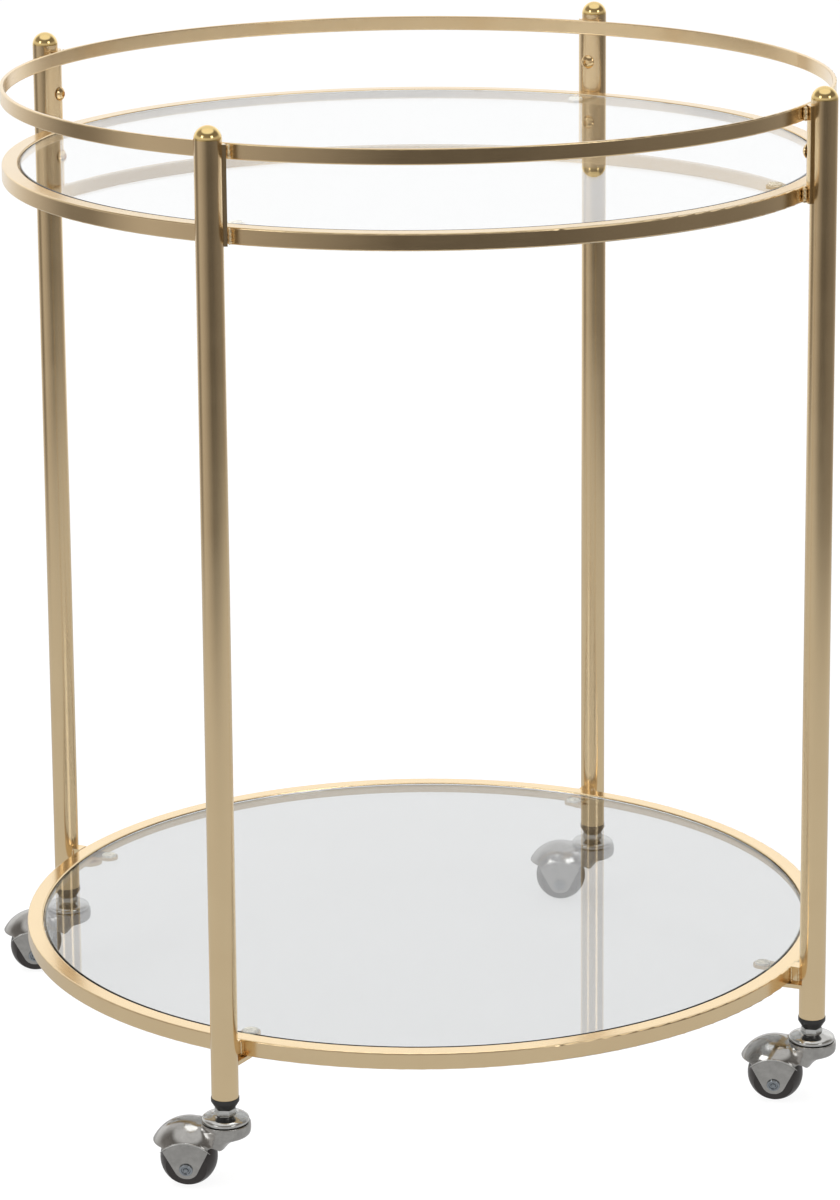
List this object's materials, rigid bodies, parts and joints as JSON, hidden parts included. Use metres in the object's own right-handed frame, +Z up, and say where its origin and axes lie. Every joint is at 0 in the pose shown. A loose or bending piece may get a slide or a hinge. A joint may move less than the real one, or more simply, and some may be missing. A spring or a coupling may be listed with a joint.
{
  "type": "bar cart",
  "caption": "Round two-tier bar cart: gold tube posts, ring-framed glass shelves with a gallery rail round the top one, and hooded ball casters that swivel and roll.",
  "frame": {"origin": "on the floor, under the common centre of the rings", "axes": "+Z up; the posts stand on the diagonals between X and Y; -Y is the front"},
  "size_m": [0.602, 0.602, 0.7463],
  "materials": {
    "satin_gold": "satin champagne-gold plating on steel",
    "polished_gold": "polished gold",
    "clear_glass": "clear, polished edges with a green tint",
    "clear_bumper": "clear soft bumper",
    "zinc_steel": "zinc-plated",
    "chrome_steel": "bright chrome-plated pressed steel",
    "black_plastic": "satin black",
    "white_nylon": "natural nylon",
    "wheel_plastic": "semi-gloss black"
  },
  "bodies": {
    "frame": {"caster_balls_back_left": "chrome_steel", "caster_balls_back_right": "chrome_steel", "caster_balls_front_left": "chrome_steel", "caster_balls_front_right": "chrome_steel", "caster_disc_back_left": "chrome_steel", "caster_disc_back_right": "chrome_steel", "caster_disc_front_left": "chrome_steel", "caster_disc_front_right": "chrome_steel", "caster_plug_back_left": "black_plastic", "caster_plug_back_right": "black_plastic", "caster_plug_front_left": "black_plastic", "caster_plug_front_right": "black_plastic", "caster_stem_back_left": "chrome_steel", "caster_stem_back_right": "chrome_steel", "caster_stem_front_left": "chrome_steel", "caster_stem_front_right": "chrome_steel", "gallery_rail": "satin_gold", "post_back_left": "satin_gold", "post_back_right": "satin_gold", "post_cap_back_left": "polished_gold", "post_cap_back_right": "polished_gold", "post_cap_front_left": "polished_gold", "post_cap_front_right": "polished_gold", "post_front_left": "satin_gold", "post_front_right": "satin_gold", "rail_bolts": "satin_gold", "rivet_nuts": "zinc_steel", "saddle_back_left": "satin_gold", "saddle_back_right": "satin_gold", "saddle_front_left": "satin_gold", "saddle_front_right": "satin_gold", "shelf_bracket_back_left": "satin_gold", "shelf_bracket_back_right": "satin_gold", "shelf_bracket_front_left": "satin_gold", "shelf_bracket_front_right": "satin_gold", "shelf_glass": "clear_glass", "shelf_glass_pads": "clear_bumper", "shelf_glass_tabs": "satin_gold", "shelf_ring": "satin_gold", "shelf_screws": "satin_gold", "tray_glass": "clear_glass", "tray_glass_pads": "clear_bumper", "tray_glass_tabs": "satin_gold", "tray_ring": "satin_gold"},
    "swivel_front_left": {"caster_hood_front_left": "chrome_steel", "wheel_axle_front_left": "zinc_steel"},
    "ball_front_left": {"wheel_front_left": "wheel_plastic", "wheel_bush_front_left": "white_nylon"},
    "swivel_front_right": {"caster_hood_front_right": "chrome_steel", "wheel_axle_front_right": "zinc_steel"},
    "ball_front_right": {"wheel_front_right": "wheel_plastic", "wheel_bush_front_right": "white_nylon"},
    "swivel_back_left": {"caster_hood_back_left": "chrome_steel", "wheel_axle_back_left": "zinc_steel"},
    "ball_back_left": {"wheel_back_left": "wheel_plastic", "wheel_bush_back_left": "white_nylon"},
    "swivel_back_right": {"caster_hood_back_right": "chrome_steel", "wheel_axle_back_right": "zinc_steel"},
    "ball_back_right": {"wheel_back_right": "wheel_plastic", "wheel_bush_back_right": "white_nylon"}
  },
  "joints": [
    {"name": "swivel_front_left_turn", "type": "hinge", "parent": "frame", "child": "swivel_front_left", "pos_m": [-0.22132, -0.22132, 0.0467], "axis": [0, 0, 1], "continuous": true},
    {"name": "ball_front_left_spin", "type": "hinge", "parent": "swivel_front_left", "child": "ball_front_left", "pos_m": [-0.24498, -0.21054, 0.02], "axis": [-0.4006, -0.879, -0.2588], "continuous": true},
    {"name": "swivel_front_right_turn", "type": "hinge", "parent": "frame", "child": "swivel_front_right", "pos_m": [0.22132, -0.22132, 0.0467], "axis": [0, 0, 1], "continuous": true},
    {"name": "ball_front_right_spin", "type": "hinge", "parent": "swivel_front_right", "child": "ball_front_right", "pos_m": [0.19848, -0.20892, 0.02], "axis": [-0.4609, -0.8489, -0.2588], "continuous": true},
    {"name": "swivel_back_left_turn", "type": "hinge", "parent": "frame", "child": "swivel_back_left", "pos_m": [-0.22132, 0.22132, 0.0467], "axis": [0, 0, 1], "continuous": true},
    {"name": "ball_back_left_spin", "type": "hinge", "parent": "swivel_back_left", "child": "ball_back_left", "pos_m": [-0.24591, 0.22979, 0.02], "axis": [-0.3145, -0.9133, -0.2588], "continuous": true},
    {"name": "swivel_back_right_turn", "type": "hinge", "parent": "frame", "child": "swivel_back_right", "pos_m": [0.22132, 0.22132, 0.0467], "axis": [0, 0, 1], "continuous": true},
    {"name": "ball_back_right_spin", "type": "hinge", "parent": "swivel_back_right", "child": "ball_back_right", "pos_m": [0.19757, 0.2319, 0.02], "axis": [-0.3929, -0.8824, -0.2588], "continuous": true}
  ]
}
